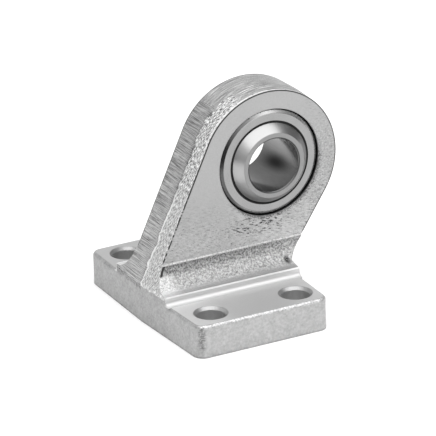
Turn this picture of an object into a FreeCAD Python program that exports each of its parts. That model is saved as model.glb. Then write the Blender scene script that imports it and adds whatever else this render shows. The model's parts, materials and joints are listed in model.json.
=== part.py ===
import FreeCAD, Part
import math
import os

import Sketcher

# Right-angle bearing block for a cylinder: a cast bracket whose foot bolts
# down flat and whose lug carries a swivelling bearing beside the foot.
# X runs across the foot towards the side that the eye overhangs, Y runs along
# the bearing's axis and Z points up. The origin is the middle of the four bolt
# holes on the underside of the foot.

SIZES = [
    # foot, from the four bolt holes outwards
    ("hole_pitch_x", 27.2, "bolt holes, centre to centre across the foot"),
    ("hole_pitch_y", 51.2, "bolt holes, centre to centre along the foot"),
    ("hole_diameter", 8.4, "bolt hole"),
    ("hole_mouth", 10.0, "widest part of the hole's soft mouth"),
    ("hole_mouth_angle", 80.0, "full angle of that mouth"),
    ("edge_left", 9.2, "hole row to the side under the slanting flank"),
    ("edge_right", 7.7, "hole row to the side that the eye overhangs"),
    ("edge_end", 7.7, "hole row to the front and rear ends"),
    ("foot_thickness", 12.3, "foot under the lug, as cast"),
    ("pad_depth", 2.5, "how far the bolt pads are milled below that"),
    ("pad_radius", 1.5, "cutter radius at the foot of each pad's wall"),
    ("corner_radius", 3.1, "upright corners of the foot"),
    ("rim_radius", 1.1, "rounding along the top rim of the foot"),
    # lug and eye
    ("eye_height", 43.0, "underside of the foot to the bearing's axis"),
    ("eye_offset", 15.9, "middle of the bolt holes to the bearing's axis"),
    ("eye_wall", 5.8, "metal round the bearing seat"),
    ("foot_radius", 6.5, "hollow between the lug and the foot"),
    ("strip_margin", 0.3, "cast strip left beyond that hollow"),
    ("waist_depth", 0.4, "waist under the overhanging flank, into the foot's side"),
    ("waist_rise", 0.9, "foot's cast top up to that waist"),
    ("knee_reach", 5.2, "foot's side out to the knee in the overhanging flank"),
    ("knee_rise", 7.3, "foot's cast top up to that knee"),
    ("cast_skin", 0.6, "skin milled off each face of the lug"),
    ("mill_radius", 0.5, "cutter radius where that milling ends"),
    ("draft_angle", 1.8, "draft of sides and flanks away from the parting line"),
    ("parting_shift", 0.5, "parting line ahead of the lug's mid plane"),
    ("seat_chamfer", 0.15, "edge break at both ends of the bearing seat"),
    # bearing, from the bore outwards
    ("bearing_bore", 16.0, "bore of the inner ring"),
    ("bore_chamfer", 0.4, "chamfer at both ends of the bore"),
    ("inner_width", 21.0, "inner ring, face to face"),
    ("end_land", 1.69, "flat end of the inner ring, bore to ball"),
    ("ball_clearance", 0.05, "running clearance between ball and race"),
    ("race_angle", 26.0, "race cones to the bearing's axis"),
    ("race_wall", 1.662, "outer ring at its thinnest, in the middle"),
    ("outer_width", 15.0, "outer ring, face to face"),
    ("outer_setback", 0.2, "outer ring inside each milled lug face"),
    ("rim_bevel_length", 0.75, "outer ring's rim bevel, along the axis"),
    ("rim_bevel_rise", 1.35, "outer ring's rim bevel, across the face"),
]

doc = FreeCAD.newDocument("BearingBlock")
sheet = doc.addObject("Spreadsheet::Sheet", "Dims")
for row, (alias, number, note) in enumerate(SIZES, start=1):
    sheet.set("A%d" % row, note)
    sheet.set("B%d" % row, str(number))
    sheet.setAlias("B%d" % row, alias)
doc.recompute()


class Size:
    """A length with its present number and the sheet formula behind it."""

    def __init__(self, number, formula):
        self.number = number
        self.formula = formula

    @staticmethod
    def of(other):
        return other if isinstance(other, Size) else Size(other, str(other))

    def __add__(self, other):
        other = Size.of(other)
        return Size(self.number + other.number,
                    "(%s + %s)" % (self.formula, other.formula))

    def __sub__(self, other):
        other = Size.of(other)
        return Size(self.number - other.number,
                    "(%s - %s)" % (self.formula, other.formula))

    def __mul__(self, other):
        other = Size.of(other)
        return Size(self.number * other.number,
                    "(%s * %s)" % (self.formula, other.formula))

    def __truediv__(self, other):
        other = Size.of(other)
        return Size(self.number / other.number,
                    "(%s / %s)" % (self.formula, other.formula))

    def __neg__(self):
        return Size(-self.number, "(0 - %s)" % self.formula)

    def across(self, other):
        """The long side of a right triangle with these two legs."""
        return Size(math.hypot(self.number, other.number),
                    "sqrt(%s ^ 2 + %s ^ 2)" % (self.formula, other.formula))

    def tan(self):
        """The tangent of this angle in degrees."""
        return Size(math.tan(math.radians(self.number)),
                    "tan(%s)" % self.formula)

    def cos(self):
        """The cosine of this angle in degrees."""
        return Size(math.cos(math.radians(self.number)),
                    "cos(%s)" % self.formula)


def size(alias):
    return Size(float(sheet.get(alias)), "Dims." + alias)


# Sizes that several features share.
left = -(size("hole_pitch_x") / 2 + size("edge_left"))
right = size("hole_pitch_x") / 2 + size("edge_right")
end = size("hole_pitch_y") / 2 + size("edge_end")
foot_top = size("foot_thickness")
pad_top = foot_top - size("pad_depth")
eye_x = size("eye_offset")
eye_z = size("eye_height")
land_edge = size("bearing_bore") / 2 + size("end_land")
ball_radius = land_edge.across(size("inner_width") / 2)
race_radius = ball_radius + size("ball_clearance")
seat_radius = race_radius + size("race_wall")
eye_radius = seat_radius + size("eye_wall")
face = size("outer_width") / 2 + size("outer_setback")
skin = face + size("cast_skin")
hollow_end = skin + size("foot_radius")
strip = hollow_end + size("strip_margin")
mill_line = foot_top + size("foot_radius")
pad_edge = strip + size("pad_radius")


def new_body(name):
    body = doc.addObject("PartDesign::Body", name)
    body.Label = name
    return body


def bind(thing, prop, length):
    """Ties a property to the sheet."""
    thing.setExpression(prop, length.formula)


def new_sketch(body, name, plane, lift=None):
    """A sketch on one of the body's own planes, lifted along its normal."""
    sketch = body.newObject("Sketcher::SketchObject", name)
    origin = body.Origin.OriginFeatures
    support = next(item for item in origin if item.Role == plane)
    sketch.AttachmentSupport = (support, [""])
    sketch.MapMode = "FlatFace"
    if lift is not None:
        bind(sketch, "AttachmentOffset.Base.z", lift)
    return sketch


def vector(point):
    return FreeCAD.Vector(point[0].number, point[1].number, 0)


def dimension(sketch, kind, refs, length):
    """One dimension of a sketch, tied to the sheet."""
    index = sketch.addConstraint(
        Sketcher.Constraint(kind, *refs, length.number))
    sketch.setExpression("Constraints[%d]" % index, length.formula)


def place(sketch, geo, end_no, point):
    """Holds one end of a curve at its distances from the sketch's origin."""
    for kind, axis, length in (("DistanceX", -2, point[0]),
                               ("DistanceY", -1, point[1])):
        if abs(length.number) < 1e-9:
            sketch.addConstraint(
                Sketcher.Constraint("PointOnObject", geo, end_no, axis))
        else:
            dimension(sketch, kind, (-1, 1, geo, end_no), length)


def outline(sketch, corners):
    """A closed outline. Each corner is (x, y) for a line to the next corner,
    or (x, y, centre, radius, turn) for an arc, where turn is +1 for an arc
    that runs anticlockwise and -1 for one that runs clockwise."""
    ends = []
    for i, corner in enumerate(corners):
        after = corners[(i + 1) % len(corners)]
        if len(corner) == 2:
            geo = sketch.addGeometry(
                Part.LineSegment(vector(corner), vector(after)), False)
            ends.append((geo, 1, 2))
            continue
        centre, radius, turn = corner[2:]
        first, last = (corner, after) if turn > 0 else (after, corner)
        angles = [math.atan2(p[1].number - centre[1].number,
                             p[0].number - centre[0].number)
                  for p in (first, last)]
        circle = Part.Circle(vector(centre), FreeCAD.Vector(0, 0, 1),
                             radius.number)
        geo = sketch.addGeometry(Part.ArcOfCircle(circle, *angles), False)
        dimension(sketch, "Radius", (geo,), radius)
        ends.append((geo, 1, 2) if turn > 0 else (geo, 2, 1))
    for i, (geo, start, stop) in enumerate(ends):
        following, begin = ends[(i + 1) % len(ends)][:2]
        sketch.addConstraint(
            Sketcher.Constraint("Coincident", geo, stop, following, begin))
    for (geo, start, stop), corner in zip(ends, corners):
        place(sketch, geo, start, corner)


def solid_step(body, kind, name, sketch=None):
    step = body.newObject("PartDesign::" + kind, name)
    if sketch is not None:
        step.Profile = sketch
    return step


def mirror_ahead(body, name, step):
    """Repeats a step on the other side of the lug's mid plane."""
    doc.recompute()
    mirror = body.newObject("PartDesign::Mirrored", name)
    mirror.Originals = [step]
    origin = body.Origin.OriginFeatures
    plane = next(item for item in origin if item.Role == "XZ_Plane")
    mirror.MirrorPlane = (plane, [""])
    body.Tip = mirror
    doc.recompute()
    return mirror


def edges_where(shape, test):
    return ["Edge%d" % (i + 1) for i, edge in enumerate(shape.Edges)
            if test(edge)]


def drafted_in(edge, distance):
    """A side's edge, brought in by the draft at a distance from the parting
    line; edge is left or right."""
    inwards = distance * size("draft_angle").tan()
    return edge + inwards if edge.number < 0 else edge - inwards


def foot_block(body):
    """Slab at the height of the milled pads, with a soft top rim. Its sides
    are widest at the parting line and drafted towards both ends."""
    shift = size("parting_shift")
    sketch = new_sketch(body, "foot_outline", "XY_Plane")
    outline(sketch, [
        (drafted_in(left, end - shift), -end),
        (drafted_in(right, end - shift), -end),
        (right, -shift),
        (drafted_in(right, end + shift), end),
        (drafted_in(left, end + shift), end),
        (left, -shift),
    ])
    pad = solid_step(body, "Pad", "foot_block", sketch)
    bind(pad, "Length", pad_top)
    doc.recompute()
    corners = solid_step(body, "Fillet", "foot_corners")
    corners.Base = (pad, edges_where(pad.Shape, lambda edge: (
        abs(edge.Vertexes[0].Z - edge.Vertexes[-1].Z) > 1e-6
        and abs(abs(edge.CenterOfMass.y) - end.number) < 1e-6)))
    bind(corners, "Radius", size("corner_radius"))
    doc.recompute()
    level = pad_top.number
    rim = solid_step(body, "Fillet", "foot_rim")
    rim.Base = (corners, edges_where(corners.Shape, lambda edge: all(
        abs(v.Z - level) < 1e-6 for v in edge.Vertexes)))
    bind(rim, "Radius", size("rim_radius"))
    doc.recompute()


def tangent_point(foot, side):
    """Where a line from the foot corner touches the eye, side -1 or +1."""
    across = eye_x.number - foot[0].number
    up = eye_z.number - foot[1].number
    reach = math.hypot(across, up)
    turn = math.asin(eye_radius.number / reach)
    angle = math.atan2(up, across) - side * turn
    length = math.sqrt(reach ** 2 - eye_radius.number ** 2)
    return FreeCAD.Vector(foot[0].number + length * math.cos(angle),
                          foot[1].number + length * math.sin(angle), 0)


def lug(body):
    """Eye, slanting flanks and the sides below them as one thick slab across
    the foot, drafted both ways from the parting line. The overhanging flank
    has a shallow waist above the foot and a knee where the milling ends."""
    corner_left = (left, foot_top)
    corner_right = (right, foot_top)
    waist = (right - size("waist_depth"), foot_top + size("waist_rise"))
    knee = (right + size("knee_reach"), foot_top + size("knee_rise"))
    root_left = (left, pad_top / 2)
    root_right = (right, pad_top / 2)
    touch_left = tangent_point(corner_left, -1)
    touch_right = tangent_point(knee, 1)
    sketch = new_sketch(body, "lug_outline", "XZ_Plane", size("parting_shift"))
    centre = FreeCAD.Vector(eye_x.number, eye_z.number, 0)
    circle = Part.Circle(centre, FreeCAD.Vector(0, 0, 1), eye_radius.number)
    start = math.atan2(touch_right.y - centre.y, touch_right.x - centre.x)
    stop = math.atan2(touch_left.y - centre.y, touch_left.x - centre.x)
    eye = sketch.addGeometry(Part.ArcOfCircle(circle, start, stop), False)
    corners = [touch_left, vector(corner_left), vector(root_left),
               vector(root_right), vector(corner_right), vector(waist),
               vector(knee), touch_right]
    lines = [sketch.addGeometry(Part.LineSegment(a, b), False)
             for a, b in zip(corners, corners[1:])]
    sketch.addConstraint(Sketcher.Constraint("Tangent", eye, 2, lines[0], 1))
    for line, following in zip(lines, lines[1:]):
        sketch.addConstraint(
            Sketcher.Constraint("Coincident", line, 2, following, 1))
    sketch.addConstraint(Sketcher.Constraint("Tangent", lines[-1], 2, eye, 1))
    place(sketch, eye, 3, (eye_x, eye_z))
    dimension(sketch, "Radius", (eye,), eye_radius)
    place(sketch, lines[1], 1, corner_left)
    place(sketch, lines[4], 1, corner_right)
    place(sketch, lines[2], 1, root_left)
    place(sketch, lines[3], 1, root_right)
    place(sketch, lines[5], 1, waist)
    place(sketch, lines[6], 1, knee)
    pad = solid_step(body, "Pad", "lug", sketch)
    pad.SideType = "Two sides"
    bind(pad, "Length", pad_edge - size("parting_shift"))
    bind(pad, "Length2", pad_edge + size("parting_shift"))
    bind(pad, "TaperAngle", -size("draft_angle"))
    bind(pad, "TaperAngle2", -size("draft_angle"))
    doc.recompute()


def relief(body):
    """Cuts the slab down to the lug, seen from the side. From the milled pad
    up: the cutter's radius, the wall of the cast strip, the cast hollow, and
    the lug's face, milled flat with a cutter. Same behind."""
    small = size("pad_radius")
    big = size("foot_radius")
    cutter = size("mill_radius")
    beyond = pad_edge + big
    over = eye_z + eye_radius + big
    sketch = new_sketch(body, "relief_profile", "YZ_Plane")
    outline(sketch, [
        (-beyond, pad_top),
        (-pad_edge, pad_top, (-pad_edge, pad_top + small), small, 1),
        (-strip, pad_top + small), (-strip, foot_top),
        (-hollow_end, foot_top, (-hollow_end, mill_line), big, 1),
        (-skin, mill_line),
        (-(face + cutter), mill_line,
         (-(face + cutter), mill_line + cutter), cutter, 1),
        (-face, mill_line + cutter), (-face, over), (-beyond, over),
    ])
    before = body.Tip.Shape.Volume
    cut = solid_step(body, "Pocket", "relief_front", sketch)
    cut.Type = "ThroughAll"
    cut.SideType = "Symmetric"
    mirror_ahead(body, "relief_rear", cut)
    assert body.Shape.Volume < before


def bearing_seat(body):
    """Straight through seat for the outer ring, with broken edges."""
    sketch = new_sketch(body, "seat_circle", "XZ_Plane")
    centre = FreeCAD.Vector(eye_x.number, eye_z.number, 0)
    circle = sketch.addGeometry(
        Part.Circle(centre, FreeCAD.Vector(0, 0, 1), seat_radius.number), False)
    place(sketch, circle, 3, (eye_x, eye_z))
    dimension(sketch, "Radius", (circle,), seat_radius)
    before = body.Tip.Shape.Volume
    cut = solid_step(body, "Pocket", "bearing_seat", sketch)
    cut.Type = "ThroughAll"
    cut.SideType = "Symmetric"
    doc.recompute()
    assert cut.Shape.Volume < before
    rims = edges_where(cut.Shape, lambda edge: (
        isinstance(edge.Curve, Part.Circle)
        and abs(edge.Curve.Radius - seat_radius.number) < 1e-6
        and abs(abs(edge.CenterOfMass.y) - face.number) < 1e-6))
    chamfer = solid_step(body, "Chamfer", "seat_edges")
    chamfer.Base = (cut, rims)
    bind(chamfer, "Size", size("seat_chamfer"))
    doc.recompute()


def bolt_holes(body):
    """Four through holes with a soft mouth, sunk from the milled pads."""
    sketch = new_sketch(body, "bolt_centres", "XY_Plane", pad_top)
    radius = size("hole_diameter") / 2
    for side in (-1, 1):
        for row in (-1, 1):
            at = (size("hole_pitch_x") / 2 * side, size("hole_pitch_y") / 2 * row)
            circle = sketch.addGeometry(
                Part.Circle(vector(at), FreeCAD.Vector(0, 0, 1), radius.number),
                False)
            place(sketch, circle, 3, at)
            dimension(sketch, "Radius", (circle,), radius)
    doc.recompute()
    before = body.Tip.Shape.Volume
    hole = solid_step(body, "Hole", "bolt_holes", sketch)
    hole.ThreadType = "None"
    hole.DepthType = "ThroughAll"
    hole.HoleCutType = "Countersink"
    bind(hole, "Diameter", size("hole_diameter"))
    bind(hole, "HoleCutDiameter", size("hole_mouth"))
    bind(hole, "HoleCutCountersinkAngle", size("hole_mouth_angle"))
    doc.recompute()
    assert hole.Shape.Volume < before


def ring(name, corners):
    """A body turned about the bearing's axis, set in the eye."""
    body = new_body(name)
    sketch = new_sketch(body, name + "_profile", "YZ_Plane")
    outline(sketch, corners)
    turned = solid_step(body, "Revolution", name + "_turned", sketch)
    turned.ReferenceAxis = (sketch, ["H_Axis"])
    turned.Angle = 360
    bind(body, "Placement.Base.x", eye_x)
    bind(body, "Placement.Base.z", eye_z)
    doc.recompute()
    return body


def make_bracket():
    body = new_body("bracket")
    foot_block(body)
    lug(body)
    relief(body)
    bearing_seat(body)
    bolt_holes(body)
    return body


def make_outer_ring():
    """Hardened ring pressed into the eye. Its race is a straight band between
    two cones that close round the ball and hold it."""
    half = size("outer_width") / 2
    angle = size("race_angle")
    band = race_radius * (angle / 2).tan()
    mouth = race_radius / angle.cos() - half * angle.tan()
    rim = seat_radius - size("rim_bevel_rise")
    shoulder = half - size("rim_bevel_length")
    return ring("outer_ring", [
        (half, mouth), (band, race_radius), (-band, race_radius),
        (-half, mouth), (-half, rim), (-shoulder, seat_radius),
        (shoulder, seat_radius), (half, rim),
    ])


def make_inner_ring():
    """Polished ball with flat ends that stand proud of the lug, and a bore."""
    half = size("inner_width") / 2
    bore = size("bearing_bore") / 2
    cut = size("bore_chamfer")
    middle = (Size.of(0), Size.of(0))
    return ring("inner_ring", [
        (half, land_edge, middle, ball_radius, 1),
        (-half, land_edge), (-half, bore + cut),
        (-half + cut, bore), (half - cut, bore), (half, bore + cut),
    ])


pieces = [make_bracket(), make_outer_ring(), make_inner_ring()]
doc.recompute()

for item in doc.Objects:
    trouble = {"Invalid", "Error"} & set(item.State)
    assert not trouble, "%s: %s" % (item.Name, item.State)
for piece in pieces:
    assert not piece.Shape.isNull(), piece.Label + " is empty"
    assert piece.Shape.isValid(), piece.Label + " is not valid"
    assert len(piece.Shape.Solids) == 1, piece.Label + " is not one solid"

os.makedirs("parts", exist_ok=True)
for piece in pieces:
    piece.Shape.exportStep("parts/%s.step" % piece.Label)
    box = piece.Shape.BoundBox
    print("%s: %.1f mm3, x %.2f to %.2f, y %.2f to %.2f, z %.2f to %.2f" % (
        piece.Label, piece.Shape.Volume, box.XMin, box.XMax,
        box.YMin, box.YMax, box.ZMin, box.ZMax))
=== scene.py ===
import json
import math

import bpy
import numpy as np
from mathutils import Matrix, Vector


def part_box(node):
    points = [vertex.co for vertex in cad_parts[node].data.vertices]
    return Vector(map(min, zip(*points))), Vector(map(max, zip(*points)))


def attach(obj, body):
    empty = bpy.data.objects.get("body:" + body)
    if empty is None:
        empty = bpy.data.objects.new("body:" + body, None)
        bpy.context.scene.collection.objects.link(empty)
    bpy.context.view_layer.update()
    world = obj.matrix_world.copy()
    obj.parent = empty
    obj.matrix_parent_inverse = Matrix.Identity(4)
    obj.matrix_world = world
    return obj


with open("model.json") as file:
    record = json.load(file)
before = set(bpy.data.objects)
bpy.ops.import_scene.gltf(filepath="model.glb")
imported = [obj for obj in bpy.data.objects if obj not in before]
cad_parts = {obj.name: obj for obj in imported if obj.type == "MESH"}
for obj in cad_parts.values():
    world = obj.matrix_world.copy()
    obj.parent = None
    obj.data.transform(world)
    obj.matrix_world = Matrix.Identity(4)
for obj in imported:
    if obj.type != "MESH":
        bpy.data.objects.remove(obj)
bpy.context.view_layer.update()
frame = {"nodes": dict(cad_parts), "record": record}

# Bracket.
# One casting: a flat foot with four bolt holes and a slanting lug. The lug's
# faces and the bolt pads are milled, the hollows keep their rough skin, and
# the flash is sheared off the narrow sides. All of it is zinc plated.


class Sock:
    """A shader value; Python's operators on it add Math nodes."""

    def __init__(self, finish, out):
        self.finish, self.out = finish, out

    def math(self, operation, *others):
        values = dict(enumerate((self,) + others))
        return self.finish.node("ShaderNodeMath", values, operation=operation)

    def __add__(self, other):
        return self.math("ADD", other)

    def __sub__(self, other):
        return self.math("SUBTRACT", other)

    def __rsub__(self, other):
        return self.finish.node("ShaderNodeMath", {0: other, 1: self},
                                operation="SUBTRACT")

    def __mul__(self, other):
        return self.math("MULTIPLY", other)

    def __truediv__(self, other):
        return self.math("DIVIDE", other)

    def __abs__(self):
        return self.math("ABSOLUTE")

    __radd__ = __add__
    __rmul__ = __mul__

    def length(self, other):
        """The long side of a right triangle with these two legs."""
        return (self * self + other * other).math("SQRT")

    def rise(self, low, high):
        """0 below low, 1 above high, and smooth between."""
        return self.finish.node(
            "ShaderNodeMapRange",
            {"Value": self, "From Min": low, "From Max": high},
            interpolation_type="SMOOTHSTEP")

    def fall(self, low, high):
        """1 below low, 0 above high, and smooth between."""
        return self.finish.node(
            "ShaderNodeMapRange",
            {"Value": self, "From Min": low, "From Max": high,
             "To Min": 1.0, "To Max": 0.0},
            interpolation_type="SMOOTHSTEP")

    def between(self, low, high, soft):
        """1 from low to high, fading out over soft on both sides."""
        return self.rise(low - soft, low) * self.fall(high, high + soft)

    def crisp(self, reach):
        """Noise about 0.5 made noise about 0, with its ends cut off where it
        is more than reach from its middle: from -0.5 to 0.5."""
        return self.rise(0.5 - reach, 0.5 + reach) - 0.5

    def swap(self, other, mask):
        """This value where mask is 0, the other where it is 1."""
        return self + mask * (other - self)

    def greys(self):
        """A neutral colour of this linear brightness. Sockets 6 and 7 of a
        Mix node are its two colours, and output 2 is the mixed one."""
        return self.finish.node(
            "ShaderNodeMix", {"Factor": self, 6: (0, 0, 0, 1),
                              7: (1, 1, 1, 1)},
            output=2, data_type="RGBA")


class Finish:
    """A material with one Principled surface, and its nodes. Its x, y and z
    are Object coordinates, the coordinate node's output 3, in millimetres."""

    def __init__(self, name):
        self.material = bpy.data.materials.new(name)
        self.material.use_nodes = True
        self.tree = self.material.node_tree
        self.surface = self.tree.nodes["Principled BSDF"]
        metres = self.node("ShaderNodeTexCoord", {}, output=3)
        self.place = self.scaled(metres, (1000, 1000, 1000))
        self.x, self.y, self.z = (
            self.node("ShaderNodeSeparateXYZ", {0: self.place}, output=axis)
            for axis in range(3))

    def node(self, kind, values, output=0, **settings):
        """Adds a node, with its settings first and then its sockets' values
        or links, and gives the output of that number."""
        made = self.tree.nodes.new(kind)
        for name, setting in settings.items():
            setattr(made, name, setting)
        for name, value in values.items():
            self.feed(made.inputs[name], value)
        return Sock(self, made.outputs[output])

    def feed(self, socket, value):
        if isinstance(value, Sock):
            self.tree.links.new(value.out, socket)
        else:
            socket.default_value = value

    def scaled(self, vector, factors):
        return self.node("ShaderNodeVectorMath", {0: vector, 1: factors},
                         operation="MULTIPLY")

    def joined(self, x, y, z=0.0):
        return self.node("ShaderNodeCombineXYZ", {0: x, 1: y, 2: z})

    def noise(self, size, detail=3.0, rough=0.55, stretch=(1, 1, 1), place=None):
        """Cloudy noise with lumps of about size millimetres, drawn out along
        each axis by the numbers in stretch."""
        factors = tuple(1.0 / (size * s) for s in stretch)
        return self.node(
            "ShaderNodeTexNoise",
            {"Vector": self.scaled(place or self.place, factors),
             "Scale": 1.0, "Detail": detail, "Roughness": rough})

    def grains(self, size, place=None):
        """How far from the middle of its grain each place is, where 1 is a
        whole grain's size in millimetres."""
        return self.node(
            "ShaderNodeTexVoronoi",
            {"Vector": self.scaled(place or self.place, (1 / size,) * 3),
             "Scale": 1.0})

    def relief(self, height, rounding=0.0):
        """Bumps from a height in millimetres, over edges rounded by so much."""
        values = {"Height": height, "Strength": 1.0, "Distance": 0.001}
        if rounding:
            values["Normal"] = self.node(
                "ShaderNodeBevel", {"Radius": rounding / 1000}, samples=4)
        return self.node("ShaderNodeBump", values)

    def give(self, **sockets):
        """Feeds the surface's sockets, named with _ for each space."""
        for name, value in sockets.items():
            self.feed(self.surface.inputs[name.replace("_", " ")], value)

    def cover(self, thing):
        """Puts this finish on a whole object, in place of what it had."""
        thing.data.materials.clear()
        thing.data.materials.append(self.material)


# sizes in millimetres, those from a node's box to the nearest micrometre;
# the bolt holes widen above the mouth's floor, and the right flank starts at
# the knee
mounts = {mount["name"]: mount for mount in frame["record"]["mounts"]}
bolts = mounts["foot_bolts"]["dims"]
EYE_X, _, EYE_Z = (1000 * metres for metres in mounts["pin_bore"]["pos_m"])
HOLE_X, HOLE_Y = bolts["spacing_x_mm"] / 2, bolts["spacing_y_mm"] / 2
HOLE_RADIUS, MOUTH_RADIUS, MOUTH_FLOOR = bolts["hole_r_mm"], 5.0, 8.8
LEFT, FRONT, _ = (round(1000 * metres, 3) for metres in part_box("bracket")[0])
FOOT_TOP, PAD_TOP = 12.3, 9.8
KNEE_X, KNEE_Z = 26.5, 19.6
EYE_RADIUS, SEAT_RADIUS = 21.8, 16.0
DRAFT, PARTING_SHIFT = math.tan(math.radians(1.8)), 0.5

# how far these are from the lug's mid plane: the milled face, the cast skin
# under it, the hollow's middle, and the edges of the strip and of the pad
FACE, CAST_FACE, HOLLOW_Y, STRIP, PAD_EDGE = 7.7, 8.3, 14.8, 15.1, 16.6
HOLLOW_RADIUS = 6.5

# the face cutter stopped at the mill line and left its radius above it
MILL_LINE, CUTTER_RADIUS = 18.8, 0.5
MILL_TOP = MILL_LINE + CUTTER_RADIUS


def flank_line(foot_x, foot_z, side):
    """Directions along and out of a flank that runs from its foot to the
    eye: the angle to the eye's centre, turned by asin(radius / distance)."""
    across, up = EYE_X - foot_x, EYE_Z - foot_z
    turn = math.asin(EYE_RADIUS / math.hypot(across, up))
    angle = math.atan2(up, across) - side * turn
    return ((math.cos(angle), math.sin(angle)),
            (side * math.sin(angle), -side * math.cos(angle)))


zinc = Finish("zinc_plated_casting")
depth = abs(zinc.y)
from_eye_x, from_eye_z = zinc.x - EYE_X, zinc.z - EYE_Z
from_axis = from_eye_x.length(from_eye_z)


def along(direction):
    """How far from the bearing's axis, along a direction across it."""
    return from_eye_x * direction[0] + from_eye_z * direction[1]


left_run, left_out = (along(d) for d in flank_line(LEFT, FOOT_TOP, -1))
right_run, right_out = (along(d) for d in flank_line(KNEE_X, KNEE_Z, 1))
past_left, past_right = left_run.rise(0, 0.01), right_run.rise(0, 0.01)
on_arc = past_left.math("MAXIMUM", past_right)

# distance out of the lug's outline, 0 on its narrow side
outside = (left_out.math("MAXIMUM", right_out).swap(from_axis, on_arc)
           - EYE_RADIUS + abs(zinc.y + PARTING_SHIFT) * DRAFT)

# millimetres along the narrow side: below 0 on both flanks, and clockwise
# round the eye from the end of the left one
around = left_run.math("ARCTAN2", left_out)
run = left_run.swap(around * EYE_RADIUS, on_arc)
skin = zinc.joined(run, zinc.y)

# Where each kind of surface is. The ends of each mask lie a little to one
# side of the surface, so that the mask is full all over it.
hollow_gap = (depth - HOLLOW_Y).length(zinc.z - MILL_LINE)
hollow = (hollow_gap.fall(HOLLOW_RADIUS + 0.04, HOLLOW_RADIUS + 0.1)
          * zinc.z.between(FOOT_TOP - 0.05, MILL_LINE, 0.05)
          * depth.fall(STRIP - 0.2, STRIP - 0.1))
face = (depth.rise(FACE - 0.1, FACE - 0.04)
        * zinc.z.rise(MILL_TOP - 0.2, MILL_TOP))
cutter_step = (depth.between(FACE - 0.04, CAST_FACE - 0.02, 0.03)
               * zinc.z.between(MILL_LINE - 0.05, MILL_TOP - 0.02, 0.05))
seat = (from_axis.fall(SEAT_RADIUS + 0.2, SEAT_RADIUS + 0.3)
        * depth.fall(FACE - 0.18, FACE - 0.1))
pads = (depth.rise(PAD_EDGE + 0.1, PAD_EDGE + 0.2)
        * zinc.z.rise(PAD_TOP - 0.08, PAD_TOP - 0.02))
wall = (depth.between(STRIP - 0.05, PAD_EDGE, 0.1)
        * zinc.z.between(PAD_TOP - 0.1, FOOT_TOP - 0.1, 0.1)
        * abs(zinc.x).fall(-LEFT - 0.1, -LEFT - 0.05))
hole_gap = (abs(zinc.x) - HOLE_X).length(depth - HOLE_Y)
mouth = (hole_gap.fall(MOUTH_RADIUS, MOUTH_RADIUS + 0.03)
         * zinc.z.between(MOUTH_FLOOR, PAD_TOP - 0.01, 0.02))
hole = (hole_gap.fall(HOLE_RADIUS + 0.1, HOLE_RADIUS + 0.2)
        * zinc.z.fall(MOUTH_FLOOR, MOUTH_FLOOR + 0.1))

# the shear also cut the foot's left side, down to a ragged edge
shear_edge = 11.1 + (zinc.noise(2.2, 1.0) - 0.5) * 1.6
above_foot = zinc.z.rise(FOOT_TOP, FOOT_TOP + 0.1)
at_left = zinc.x.fall(LEFT + 0.8, LEFT + 1.0)
sheared = ((zinc.z - shear_edge).rise(-0.05, 0.05) * (1 - hollow) * (1 - face)
           * (1 - seat) * (1 - cutter_step) * depth.fall(STRIP - 0.2, STRIP - 0.05)
           * above_foot.math("MAXIMUM", at_left))
sides = (zinc.z.fall(PAD_TOP, FOOT_TOP + 0.2)
         * (1 - sheared) * (1 - pads) * (1 - wall))

# a ragged border runs down the narrow sides, and in front of it they tore
border = (-1.1 + (zinc.noise(4.0, 2.5, 0.6, place=skin) - 0.5) * 3.4
          + run.rise(-26, -10) * -0.4)
torn = (border - zinc.y).rise(-0.1, 0.1)

# patterns that several kinds of surface share
coarse = zinc.noise(0.55, 3.0, 0.75)
specks = zinc.noise(0.45, 3.0, 0.75)
drawn = zinc.noise(0.4, 2.0, 0.6, stretch=(12, 1, 1))
cut_way = zinc.joined(zinc.x, zinc.y, zinc.z + zinc.x * 0.2)
grain = zinc.noise(0.34, 2.5, 0.7, stretch=(3, 1, 1), place=cut_way)


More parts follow.
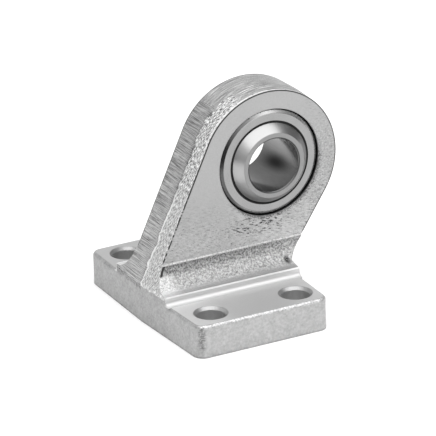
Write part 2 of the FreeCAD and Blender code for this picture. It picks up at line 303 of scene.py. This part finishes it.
def sheared_look():
    """Brightness and height of the narrow sides: shear marks behind the
    border, torn skin in front of it, and a belt's streaks over the top."""
    filings = zinc.noise(0.3, 2.5, 0.7, place=skin)

    # fine marks straight across and a few gouges, with painted shade beside
    # the border, and darker at the root
    marks = zinc.noise(0.21, 2.0, 0.55, stretch=(1, 45, 1), place=skin)
    gouges = (zinc.noise(0.36, 2.0, 0.6, stretch=(1, 16, 1), place=skin)
              .rise(0.57, 0.68))
    cloud = zinc.noise(3.0, 2.0, place=skin)
    border_shade = (zinc.y - border).between(0.0, 0.5, 0.3)
    root = (zinc.z - shear_edge).between(-0.3, 0.3, 0.2) * (1 - torn)
    cut = (0.33 + run.fall(-32, -6) * 0.08 + marks.crisp(0.14) * 0.34
           + (cloud - 0.5) * 0.2 + filings.crisp(0.15) * 0.14
           - gouges * (0.1 + run.fall(-34, -20) * 0.1)
           - border_shade * 0.08 - root * 0.16)

    # short strokes on the slant with bright sparks, bolder high on the flank
    slanted = zinc.joined(run, zinc.y + run * 0.22)
    tears = zinc.noise(0.34, 2.3, 0.6, stretch=(3.0, 0.85, 1), place=slanted)
    sparks = zinc.grains(0.5, place=slanted)
    ripped = (0.54 + tears.crisp(0.12) * (0.58 + run.rise(-20, -8) * 0.35)
              + sparks.fall(0.0, 0.3) * 0.15)

    # long streaks round the eye, brightest where the belt met the torn skin
    ragged = run + (zinc.noise(1.6, 2.0, place=skin) - 0.5) * 6.0
    over_top = (ragged.rise(9.5, 10.5).swap(ragged.rise(14, 19), torn)
                * ragged.fall(52, 62))
    streaks = zinc.noise(0.42, 2.5, 0.6, stretch=(14, 1, 1), place=skin)
    dressed = (0.39 + streaks.crisp(0.15) * 0.26 + filings.crisp(0.15) * 0.26
               + streaks.rise(0.55, 0.65) * ragged.fall(20, 34)
               * (0.15 + torn * 0.3))

    # a broken ridge along the border, low on the flank, with a painted
    # highlight on it
    highlit_ridge = (abs(border - zinc.y - 0.25).fall(0.2, 0.5) * run.fall(-22, -12)
             * zinc.noise(1.5, 2.0, place=skin).rise(0.3, 0.45))
    look = cut.swap(ripped, torn).swap(dressed, over_top)
    look = look.swap(0.85, highlit_ridge * (1 - over_top))
    bumps = ((marks * 0.03 + filings * 0.05)
             .swap(tears * 0.12 + sparks * 0.04, torn)
             .swap(streaks * 0.012, over_top) + highlit_ridge * 0.1)
    return look, bumps


def hollow_look():
    """Brightness and height of the hollows: blasted skin with bright and
    dark grains, rubbed smooth beside the strip, with painted shade high up,
    a painted band of light across the middle and a painted highlight at
    the left end."""
    pits = zinc.grains(0.6)
    shaded_top = zinc.z.rise(15.5, 18) * zinc.x.fall(12, 20)
    lit_band = zinc.z.between(13.6, 15.4, 1.0)
    highlit_end = zinc.x.fall(-19.5, -15) * zinc.z.fall(15.5, 17)
    rubbed = zinc.z.fall(FOOT_TOP + 0.1, FOOT_TOP + 1.1)
    blasted = (0.42 + coarse.crisp(0.2) * 0.55 + pits.fall(0.0, 0.25) * 0.25
               - shaded_top * 0.07 + lit_band * 0.1)
    look = (blasted.swap(0.5 + (drawn - 0.5) * 0.25, rubbed * 0.8)
            + highlit_end * 0.2)
    return look, (coarse * 0.34 + pits * 0.06) * (1 - rubbed * 0.8)


def face_look():
    """Brightness and height of the milled faces: an even satin with a grain
    along the cut that grows towards the mill line, and flecks of old skin
    below the bearing, where the cutter only just reached it."""
    flecks_x, flecks_z = 12.6, 24.9
    broad = zinc.noise(9.0, 3.0)
    low_down = zinc.z.fall(22, 42) + zinc.x.rise(22, 34) * 0.5
    rough_side = zinc.x.rise(24, 31) * zinc.z.fall(46, 56)
    dashes = zinc.noise(0.34, 2.0, 0.65, stretch=(4, 1, 1), place=cut_way)
    below = ((zinc.x - flecks_x) * 0.11).length((zinc.z - flecks_z) * 0.42)
    flecks = dashes.rise(0.53, 0.62) * below.fall(0.4, 1.7)
    look = (0.43 + (broad - 0.5) * 0.05 + (specks - 0.5) * 0.16
            + (coarse.rise(0.3, 0.7) - 0.55) * rough_side * 0.24
            + (grain - 0.5) * low_down * 0.5 - flecks * 0.34
            - dashes.rise(0.58, 0.7) * low_down * 0.22
            - specks.rise(0.56, 0.66) * low_down * 0.26
            + zinc.z.fall(19, 32) * 0.09)
    return look, grain * (low_down * 0.02 + 0.004) - flecks * 0.03


def foot_look():
    """Brightness and height of the foot's cast sides: a soft mottle, a
    painted highlight along the rim of both ends, painted shade on the left
    side and towards the back with painted light on the front of the left
    side, pitted at the front left corner, painted shade along the base,
    and darker in patches under the sheared edge."""
    mottle = zinc.noise(0.6, 3.0, 0.7)
    waves = zinc.noise(3.0, 2.0)
    blotches = zinc.noise(1.2, 2.0)
    # a painted highlight along the rim of both ends
    rim = (zinc.z.rise(8.6, 9.3) * (1 - pads)
           * depth.rise(-FRONT - 1.8, -FRONT - 0.8))
    # painted light on the front of the left side
    lit_front_left = (zinc.y.fall(FRONT + 3.3, FRONT + 21.3)
                  * zinc.x.fall(LEFT + 0.2, LEFT + 0.8))
    pitted = (zinc.x.between(LEFT + 1.9, LEFT + 2.8, 1.2)
              * zinc.z.between(3.5, 9.0, 2.0)
              * zinc.y.fall(FRONT + 0.8, FRONT + 1.8))
    # darker in patches just under the sheared edge
    darker_under_shear = ((zinc.z - shear_edge).between(-1.0, 0.0, 0.6) * (1 - torn)
              * coarse.rise(0.35, 0.6) * depth.fall(14, 17))
    # painted shade on the left side, towards the back and along the base
    look = (0.47 - zinc.x.fall(LEFT + 2.3, LEFT + 3.3) * 0.07
            + mottle.crisp(0.25) * 0.1 + (blotches - 0.5) * 0.16
            + (waves - 0.5) * 0.12
            + rim * (mottle.rise(0.35, 0.65) * 0.25 + 0.02)
            - zinc.y.rise(FRONT + 3.3, FRONT + 25.3) * 0.04
            + lit_front_left * 0.12 - pitted * coarse.rise(0.4, 0.6) * 0.22
            - zinc.z.fall(0.15, 0.7) * 0.1 - darker_under_shear * 0.16)
    return look, mottle * 0.1 + waves * 0.12


# Edges. The face's edge has a painted dark line of shade all round it, broken
# low down, and in front a painted highlight along the arc's edge.
face_edge = outside.length(depth - FACE)
highlight_breaks = zinc.noise(1.2, 2.0, place=skin) + run.rise(-10, 6) * 0.14
lug_edge_highlight = ((face_edge - run.between(-8, 24, 4) * 0.35).fall(0.6, 1.0)
           * (1 - face) * zinc.z.rise(19, 20) * zinc.y.fall(0, 1)
           * highlight_breaks.rise(0.45, 0.62))
whole = zinc.noise(0.9, 2.0, place=skin) + run.rise(-24, -12) * 0.2
lug_edge_shade = (face_edge.fall(0.18, 0.42) * zinc.z.rise(19, 20)
            * whole.rise(0.4, 0.5))

# a painted highlight lies on the strip's corner, and painted shade in the
# left end of the hollow, in its far lower corner and under the mill line
strip_edge_highlight = ((depth - STRIP).length(zinc.z - FOOT_TOP).fall(0.25, 0.5)
              * zinc.x.rise(LEFT + 0.2, LEFT + 0.8))
notch_shade = (abs(outside + 0.3).fall(0.25, 0.5) * zinc.z.between(16.2, 18.7, 0.3)
         * zinc.x.fall(-10, -9) * hollow)
far_end_shade = (zinc.x - 19.1).length(zinc.z - 13.6).fall(0.4, 1.2) * hollow
waver = (zinc.noise(1.0, 2.0, stretch=(2, 1, 1)) - 0.5) * 1.4
under_mill_shade = (zinc.z + waver).between(18.0, 18.6, 0.4) * hollow

# ragged nibs of painted shade round the lower right of the seat
seat_shade_nibs = ((from_axis - specks.rise(0.4, 0.6))
        .fall(SEAT_RADIUS - 0.05, SEAT_RADIUS + 0.15)
        * face * (from_eye_x * 0.5 - from_eye_z).rise(3, 11))

sheared_tone, sheared_height = sheared_look()
hollow_tone, hollow_height = hollow_look()
face_tone, face_height = face_look()
tone, foot_height = foot_look()
# painted shade makes the rear pad darker, and painted light makes the front pad
# lighter at its left end
pad_tone = (0.63 - zinc.y.rise(-1, 1) * 0.13
            + zinc.x.fall(-16, -8) * zinc.y.fall(-1, 1) * 0.1
            + (grain - 0.5) * 0.06)

# each brightness goes over those before it, where its mask is
for over, mask in [
        (pad_tone, pads),
        (0.66 + (drawn - 0.5) * 0.14, wall),
        (0.62, wall * zinc.z.fall(PAD_TOP + 0.35, PAD_TOP + 1.0)),
        (hollow_tone, hollow),
        (face_tone, face),
        # ragged nibs of painted shade round the seat
        (0.1, seat_shade_nibs * 0.8),
        (sheared_tone, sheared),
        (0.3 + coarse.rise(0.3, 0.6) * 0.35, cutter_step),
        # painted highlights and painted shade along the edges and in the hollow
        (0.92, strip_edge_highlight),
        (0.95, lug_edge_highlight * 0.8),
        (0.03, lug_edge_shade * 0.95),
        (0.12, under_mill_shade * 0.2),
        (0.06, notch_shade),
        (0.05, far_end_shade * coarse.rise(0.35, 0.5)),
        (0.44, mouth),
        (0.52, hole),
        # painted shade on the seat's wall, darkest deeper in
        (0.25, seat),
        (0.04, seat * depth.fall(FACE - 0.7, FACE - 0.3))]:
    tone = tone.swap(over, mask)

height = (sheared * sheared_height + hollow * hollow_height
          + face * face_height + sides * foot_height
          + pads * grain * 0.006)
zinc.give(
    Base_Color=tone.greys(),
    Metallic=0.8,
    Roughness=(0.42 + sheared * 0.06 + hollow * 0.04 + pads * 0.08
               - mouth * 0.08 - strip_edge_highlight * 0.1),
    Normal=zinc.relief(height, rounding=0.3))
zinc.cover(frame["nodes"]["bracket"])


# Outer ring.
# Turned and hardened steel ring, pressed into the lug's eye to just below
# the milled faces, with a long bevel round its rim.

RING_FACE = round(1000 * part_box("outer_ring")[1][1], 3)
steel = Finish("turned_ring_steel")
ring_radius = (steel.x - EYE_X).length(steel.z - EYE_Z)
turning = steel.noise(0.16, 2.0, place=steel.joined(ring_radius, 0.0))
bevel = abs(steel.y).fall(RING_FACE - 0.08, RING_FACE - 0.02)

# painted shade lies in the corner between bevel and seat, with a ragged
# edge, and the bevel is painted lighter than the face as a painted
# highlight, with painted shade towards the left
groove_wobble = (steel.noise(0.5, 2.0) - 0.5) * 0.9
groove_shade = (ring_radius + groove_wobble).rise(SEAT_RADIUS - 0.6, SEAT_RADIUS - 0.3) * bevel
left_shade = (EYE_X - steel.x + (steel.z - EYE_Z) * 0.2).rise(0, 11)
ring_face = 0.33 + (turning - 0.5) * 0.05 + (steel.noise(3.0) - 0.5) * 0.06
steel.give(
    Base_Color=ring_face.swap(0.6 - left_shade * 0.48, bevel)
    .swap(0.03, groove_shade).greys(),
    Metallic=1.0,
    Roughness=0.26 + (steel.noise(4.0) - 0.5) * 0.08,
    Normal=steel.relief(turning * 0.003))
steel.cover(frame["nodes"]["outer_ring"])


# Inner ring.
# Ground and polished ball of bearing steel with flat ends and a bore that
# takes the pin. It tilts in the outer ring.

BALL_END = round(1000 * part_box("inner_ring")[1][1], 3)
BORE_RADIUS, BORE_CHAMFER = mounts["pin_bore"]["dims"]["r_mm"], 0.4
ball = Finish("polished_ball_steel")
ball_radius = (ball.x - EYE_X).length(ball.z - EYE_Z)
end_face = abs(ball.y).rise(BALL_END - 0.06, BALL_END - 0.01)
bore = ball_radius.fall(BORE_RADIUS + 0.02, BORE_RADIUS + 0.1)
chamfer_end = BORE_RADIUS + BORE_CHAMFER
bore_edge = ball_radius.fall(chamfer_end - 0.04, chamfer_end + 0.04) * (1 - bore)
honing = ball.noise(0.25, 2.0, stretch=(1, 12, 1))

# a painted dark reflection on the lower right of the bore, longer along
# the bore than round it
reflection_x, reflection_z, reflection_y = 22.7, 38.8, 1.0
round_bore = ((ball.x - reflection_x) * 0.515 + (ball.z - reflection_z) * 0.857
              + ball.y * 0.1)
painted_reflection = ((round_bore / 3.2).length((ball.y - reflection_y) / 9.0).fall(0.1, 1.2)
         * bore)
ball_tone = 0.42 + (ball.noise(3.0) - 0.5) * 0.04
# the bore is painted dark as shade, lighter towards its top as painted light, and its
# chamfer is painted dark as shade
bore_tone = 0.12 + ball.z.rise(38, 46) * 0.09 + (honing - 0.5) * 0.06
for over, mask in [
        (0.29 + (honing - 0.5) * 0.05, end_face),
        (0.12, bore_edge),
        (bore_tone, bore),
        (0.008, painted_reflection)]:
    ball_tone = ball_tone.swap(over, mask)
ball.give(
    Base_Color=ball_tone.greys(),
    Metallic=1.0,
    Roughness=0.3 + end_face * 0.08 - bore * 0.06 + bore_edge * 0.2,
    Normal=ball.relief(honing * bore * 0.004))
ball.cover(frame["nodes"]["inner_ring"])


# Gap shade lines.
# A thin dark film of painted shade that fills the gap between ball and ring
# on both sides. It stays at the ring's mouth when the ball tilts.

BALL_RADIUS = 14.288
BEAD_INNER, BEAD_OUTER, SPREAD_IN, SPREAD_OUT = 11.98, 12.42, 0.25, 0.28
BEAD_LIFT, BEAD_EDGE, BEAD_CROWN, SWELL = 0.012, 0.02, 0.04, 0.05
BEAD_ROUND, BEAD_ACROSS, THINNEST = 240, 9, math.radians(135)
shade_film = Finish("dark_grease")
shade_film.give(
    Base_Color=(0.012 + shade_film.noise(0.8) * 0.012).greys(),
    Roughness=0.7, Specular_IOR_Level=0.1,
    Normal=shade_film.relief(shade_film.noise(0.6) * 0.02))


def shade_bead(name, side):
    """A thin bead of painted shade turned about the bearing's axis. At each
    radius its lower side follows the ball or the ring's face, whichever
    stands further out, a hair above the steel. Its upper side is lifted by a
    sine across the bead, which is widest at the lower right, where the
    painted shade of the gap is broadest."""
    around = np.linspace(0, 2 * np.pi, BEAD_ROUND, endpoint=False)[:, None]
    across = np.linspace(0.0, 1.0, BEAD_ACROSS)
    widening = 0.5 - 0.5 * np.cos(around - THINNEST)
    inner = BEAD_INNER - SPREAD_IN * widening
    outer = BEAD_OUTER + SPREAD_OUT * widening
    radius = inner + (outer - inner) * across
    ball_face = np.sqrt(BALL_RADIUS ** 2 - radius ** 2)
    low = BEAD_LIFT + np.maximum(ball_face, RING_FACE)
    crown = (BEAD_CROWN + SWELL * widening) * np.sin(np.pi * across)
    high = low + BEAD_EDGE + crown
    distance = np.concatenate([low, high[:, ::-1]], 1)
    radius = np.concatenate([radius, radius[:, ::-1]], 1)
    points = np.stack([EYE_X + np.cos(around) * radius, side * distance,
                       EYE_Z + np.sin(around) * radius], -1)
    turns, count = radius.shape
    i, j = np.meshgrid(np.arange(turns), np.arange(count), indexing="ij")
    after_i, after_j = (i + 1) % turns, (j + 1) % count
    quads = np.stack([i * count + j, after_i * count + j,
                      after_i * count + after_j, i * count + after_j], -1)
    quads = quads.reshape(-1, 4)[:, ::-side]
    mesh = bpy.data.meshes.new(name)
    mesh.from_pydata((points.reshape(-1, 3) / 1000).tolist(), [],
                     quads.tolist())
    mesh.polygons.foreach_set("use_smooth", [True] * len(mesh.polygons))
    piece = bpy.data.objects.new(name, mesh)
    bpy.context.scene.collection.objects.link(piece)
    shade_film.cover(piece)
    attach(piece, "block")


shade_bead("grease_line_front", -1)
shade_bead("grease_line_rear", 1)


# Floor.
# A matt white table top that the bracket stands on, a hair below it. It
# looks a little brighter than lit, also where the metal mirrors it.

# lengths in metres from here on
FLOOR_SIZE, FLOOR_DROP = 6.0, 0.00005
table = Finish("white_table")
lit = table.node("ShaderNodeBsdfDiffuse", {"Color": (0.82, 0.82, 0.82, 1)})
rays = table.node("ShaderNodeLightPath", {}).out.node.outputs
seen = (Sock(table, rays["Is Camera Ray"])
        .math("MAXIMUM", Sock(table, rays["Is Glossy Ray"]))
        .math("MAXIMUM", Sock(table, rays["Is Transmission Ray"])))
glow = table.node("ShaderNodeEmission", {"Strength": seen * 0.25})
both = table.node("ShaderNodeAddShader", {0: lit, 1: glow})
table.tree.links.new(both.out, table.tree.nodes["Material Output"].inputs[0])
table.tree.nodes.remove(table.surface)
bpy.ops.mesh.primitive_plane_add(size=FLOOR_SIZE, location=(0, 0, -FLOOR_DROP))
floor = bpy.context.object
floor.name = "floor"
table.cover(floor)


# Light.
# A soft room, brightest overhead and behind the bracket, with one large
# soft box above and in front of it.


class Room(Finish):
    """The world's nodes, with the same methods as a material's."""

    def __init__(self, world):
        self.tree = world.node_tree
        self.surface = self.tree.nodes["Background"]
        self.way = self.node("ShaderNodeTexCoord", {}, output=0)

    def towards(self, x, y, z):
        """1 straight towards this direction, 0 across it, -1 away."""
        length = math.sqrt(x * x + y * y + z * z)
        return self.node("ShaderNodeVectorMath",
                         {0: self.way, 1: (x / length, y / length, z / length)},
                         output=1, operation="DOT_PRODUCT")


world = bpy.data.worlds.new("room")
bpy.context.scene.world = world
world.use_nodes = True
room = Room(world)
rays = room.node("ShaderNodeLightPath", {}).out.node.outputs
overhead = room.towards(-0.2, -0.45, 0.87).rise(0.2, 0.9)
behind = room.towards(0, 1, 0.1).rise(0.2, 0.8)
sky = 0.2 + overhead * 0.75 + behind * 0.8
room.give(Color=(1, 1, 1, 1),
          Strength=sky.swap(1.0, Sock(room, rays["Is Camera Ray"])))

LAMP_PLACE, LAMP_SIZE, LAMP_WATTS = (0.0, -0.4, 0.85), 1.6, 8.0
eye = np.array([EYE_X, 0.0, EYE_Z]) / 1000
lamp_data = bpy.data.lights.new("soft_box", "AREA")
lamp_data.shape = "DISK"
lamp_data.size = LAMP_SIZE
lamp_data.energy = LAMP_WATTS
lamp = bpy.data.objects.new("soft_box", lamp_data)
bpy.context.scene.collection.objects.link(lamp)
lamp.location = LAMP_PLACE
lamp.rotation_mode = "QUATERNION"
lamp.rotation_quaternion = Vector(np.array(LAMP_PLACE) - eye).to_track_quat("Z", "Y")

# a dark card in front, beside the camera, that shows only where it is mirrored
CARD_SIZE, CARD_DISTANCE = 0.11, 0.15
card = Finish("dark_card")
card.give(Base_Color=(0.06, 0.06, 0.06, 1), Roughness=0.9)
bpy.ops.mesh.primitive_plane_add(size=CARD_SIZE)
flag = bpy.context.object
flag.name = "dark_card"
to_card = Vector((-0.47, -0.87, -0.12)).normalized()
facing = to_card.to_track_quat("Z", "Y").to_matrix().to_4x4()
flag.data.transform(Matrix.Translation(Vector(eye) + to_card * CARD_DISTANCE) @ facing)
card.cover(flag)
for kind in ("camera", "diffuse", "shadow", "transmission"):
    setattr(flag, "visible_" + kind, False)


# Camera.
# A long lens from the front left, a little above, as in the photograph. The
# bearing's centre is to the right of the picture's middle and above it.

AZIMUTH, LIFT, ROLL = 27.83, 22.36, -1.5
DISTANCE, EYE_RIGHT, EYE_UP = 1.5, 0.01095, 0.01827
FOCAL_PIXELS, PICTURE_PIXELS, SENSOR_MM = 5263.5, 436, 36.0
azimuth, lift, roll = np.radians([AZIMUTH, LIFT, ROLL])
side = np.array([np.cos(azimuth), -np.sin(azimuth), 0.0])
ahead = np.array([np.sin(azimuth) * np.cos(lift),
                  np.cos(azimuth) * np.cos(lift), -np.sin(lift)])
up = np.cross(side, ahead)
side, up = (side * np.cos(roll) + up * np.sin(roll),
            up * np.cos(roll) - side * np.sin(roll))
lens = bpy.data.cameras.new("camera")
lens.lens = SENSOR_MM * FOCAL_PIXELS / PICTURE_PIXELS
lens.sensor_width = SENSOR_MM
lens.clip_start, lens.clip_end = 0.05, 20.0
camera = bpy.data.objects.new("camera", lens)
bpy.context.scene.collection.objects.link(camera)
stand = eye - DISTANCE * ahead - EYE_RIGHT * side - EYE_UP * up
matrix = np.eye(4)
matrix[:3] = np.stack([side, up, -ahead, stand], -1)
camera.matrix_world = Matrix(matrix.tolist())
bpy.context.scene.camera = camera
bpy.context.scene.view_settings.view_transform = "Standard"
